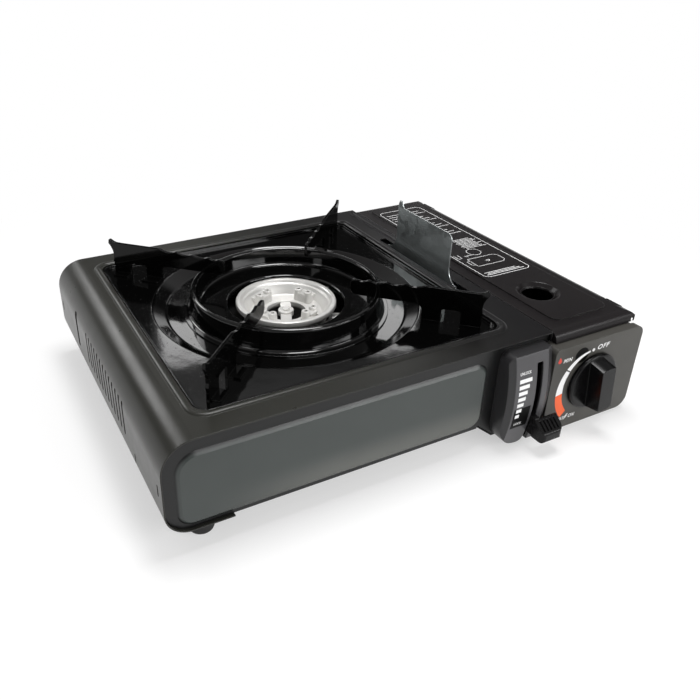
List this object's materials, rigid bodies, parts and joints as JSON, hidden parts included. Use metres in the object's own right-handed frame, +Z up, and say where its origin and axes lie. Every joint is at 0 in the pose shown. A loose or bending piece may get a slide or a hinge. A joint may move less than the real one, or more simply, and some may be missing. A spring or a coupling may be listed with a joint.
{
  "type": "butane cassette stove",
  "caption": "Low tabletop gas stove: pressed-steel body, square drip tray with a ring and arms that carry a pan, dished burner, hinged cartridge lid, rotary knob and lock lever.",
  "frame": {"origin": "on the table, under the middle of the stove's outline, lever included", "axes": "+X to the right (the knob side), +Y to the back, +Z up"},
  "size_m": [0.345, 0.28, 0.1173],
  "materials": {
    "body_paint": "satin olive-black baked paint on pressed steel",
    "front_paint": "satin slate-grey baked paint",
    "lid_paint": "satin black baked paint with a warm sheen",
    "control_paint": "satin dark olive-grey",
    "enamel": "glossy black vitreous enamel",
    "galvanised": "bright galvanised sheet",
    "shield_steel": "dull blue-grey galvanised sheet",
    "burner_alloy": "bright die-cast and turned aluminium",
    "tube_steel": "drawn steel tube",
    "die_cast": "matt zinc-alloy casting",
    "nozzle_brass": "turned brass",
    "pin_steel": "plated steel",
    "ceramic": "white glazed ceramic",
    "lead_sleeve": "black silicone sleeve",
    "black_plastic": "matt black moulding",
    "escutcheon_plastic": "satin dark grey moulding",
    "knob_plastic": "semi-gloss black moulding",
    "lever_plastic": "satin black ribbed moulding",
    "foot_rubber": "black rubber"
  },
  "bodies": {
    "chassis": {"body_shell": "body_paint", "front_panel": "front_paint", "rear_panel": "body_paint", "base_pan": "body_paint", "bay_partition": "galvanised", "heat_shield": "shield_steel", "burner_head": "burner_alloy", "burner_chamber": "burner_alloy", "burner_stand": "galvanised", "mixing_tube": "tube_steel", "air_collar": "nozzle_brass", "gas_nozzle": "nozzle_brass", "spark_electrode": "ceramic", "ignition_lead": "lead_sleeve", "regulator_body": "die_cast", "regulator_cap": "die_cast", "cartridge_collar": "galvanised", "piezo_igniter": "black_plastic", "control_plate": "control_paint", "lever_escutcheon": "escutcheon_plastic", "lever_pin": "pin_steel", "lever_bracket": "galvanised", "carriage_guides": "galvanised", "lid_hinge_pins": "pin_steel", "lid_hinge_ears": "body_paint", "foot_front_left": "foot_rubber", "foot_front_right": "foot_rubber", "foot_rear_left": "foot_rubber", "foot_rear_right": "foot_rubber", "base_screws": "pin_steel", "regulator_screws": "pin_steel"},
    "pan_support": {"drip_tray": "enamel", "burner_ring": "enamel", "pan_arm_front_left": "enamel", "pan_arm_front_right": "enamel", "pan_arm_rear_left": "enamel", "pan_arm_rear_right": "enamel"},
    "knob": {"control_knob": "knob_plastic", "control_spindle": "pin_steel", "igniter_cam": "black_plastic"},
    "lever": {"lock_lever": "lever_plastic"},
    "carriage": {"cartridge_carriage": "galvanised"},
    "lid": {"bay_lid": "lid_paint"},
    "igniter_button": {"igniter_plunger": "ceramic"}
  },
  "joints": [
    {"name": "knob_turn", "type": "hinge", "parent": "chassis", "child": "knob", "pos_m": [0.1288, -0.1238, 0.0373], "axis": [0, -1, 0], "range_deg": [0, 150]},
    {"name": "lever_swing", "type": "hinge", "parent": "chassis", "child": "lever", "pos_m": [0.0772, -0.0755, 0.038], "axis": [-1, 0, 0], "range_deg": [0, 40]},
    {"name": "carriage_slide", "type": "slide", "parent": "chassis", "child": "carriage", "axis": [0, 1, 0], "range_m": [0, 0.00615]},
    {"name": "lid_open", "type": "hinge", "parent": "chassis", "child": "lid", "pos_m": [0.1665, 0, 0.072], "axis": [0, 1, 0], "range_deg": [0, 105]},
    {"name": "pan_support_lift", "type": "slide", "parent": "chassis", "child": "pan_support", "axis": [0, 0, 1], "range_m": [0, 0.06]},
    {"name": "igniter_press", "type": "slide", "parent": "chassis", "child": "igniter_button", "axis": [0, 0, -1], "range_m": [0, 0.005], "stiffness_N_per_m": 400, "springref_m": -0.003}
  ],
  "couplings": [
    {"joint": "lever_swing", "follows": "carriage_slide", "rad_per_m": 113.41}
  ]
}
